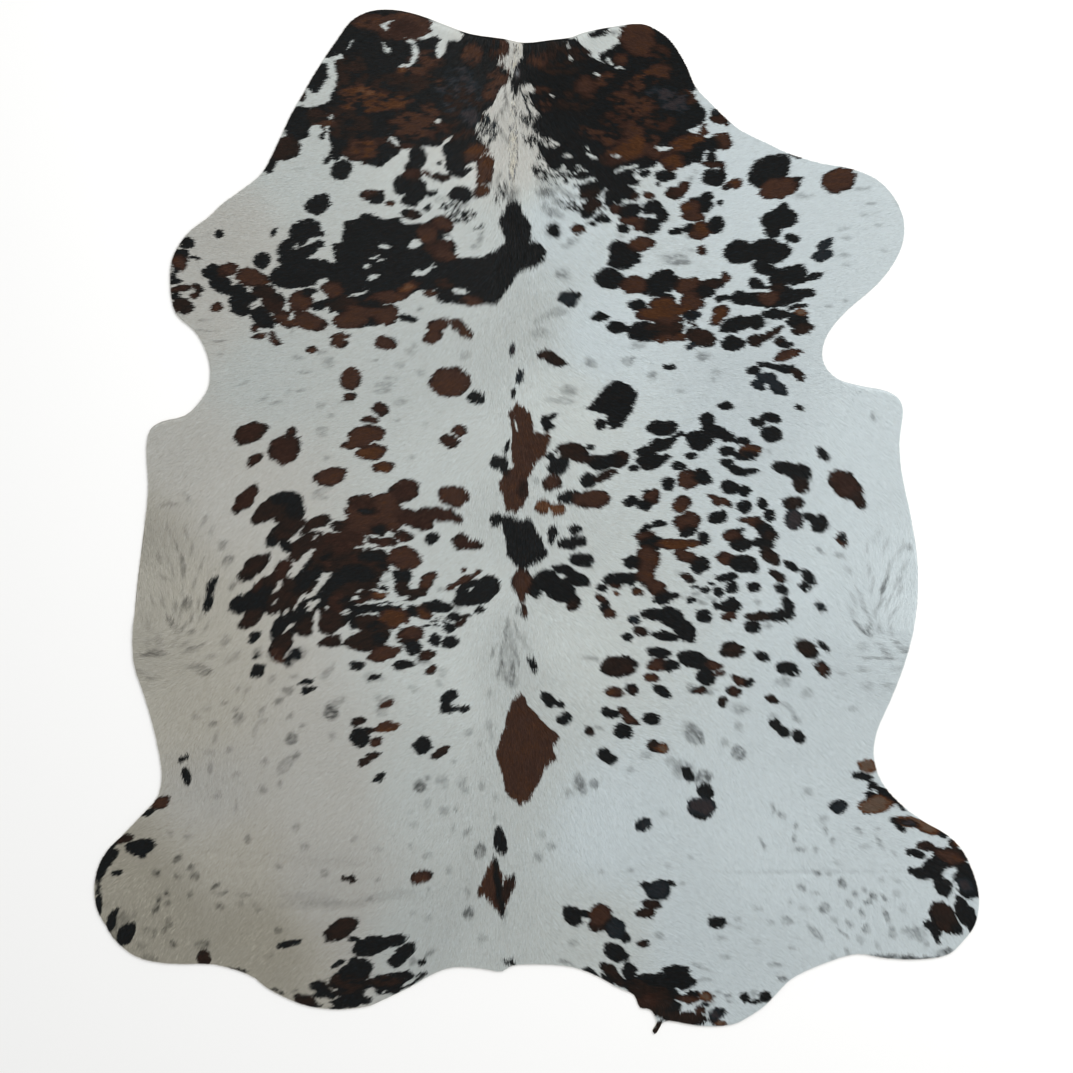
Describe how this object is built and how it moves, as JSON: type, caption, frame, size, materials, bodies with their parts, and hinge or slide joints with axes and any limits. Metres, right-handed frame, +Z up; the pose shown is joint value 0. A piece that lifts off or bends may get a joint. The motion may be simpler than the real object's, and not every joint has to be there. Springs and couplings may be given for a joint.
{
  "type": "cowhide rug",
  "caption": "Whole-hide cowhide rug lying flat, hair side up, with neck, leg, belly and rump lobes and a spotted black, brown and white coat.",
  "frame": {"origin": "middle of the hide's bounding box, on the floor under it", "axes": "+X to the hide's right as seen from above, +Y along the spine towards the neck, +Z up out of the hair"},
  "size_m": [1.899, 2.2006, 0.0059],
  "materials": {
    "haired_hide": "short, glossy lying cow hair on tanned leather: cool white ground with black, seal brown and chestnut spots"
  },
  "bodies": {
    "root": {"hide": "haired_hide"}
  },
  "joints": []
}
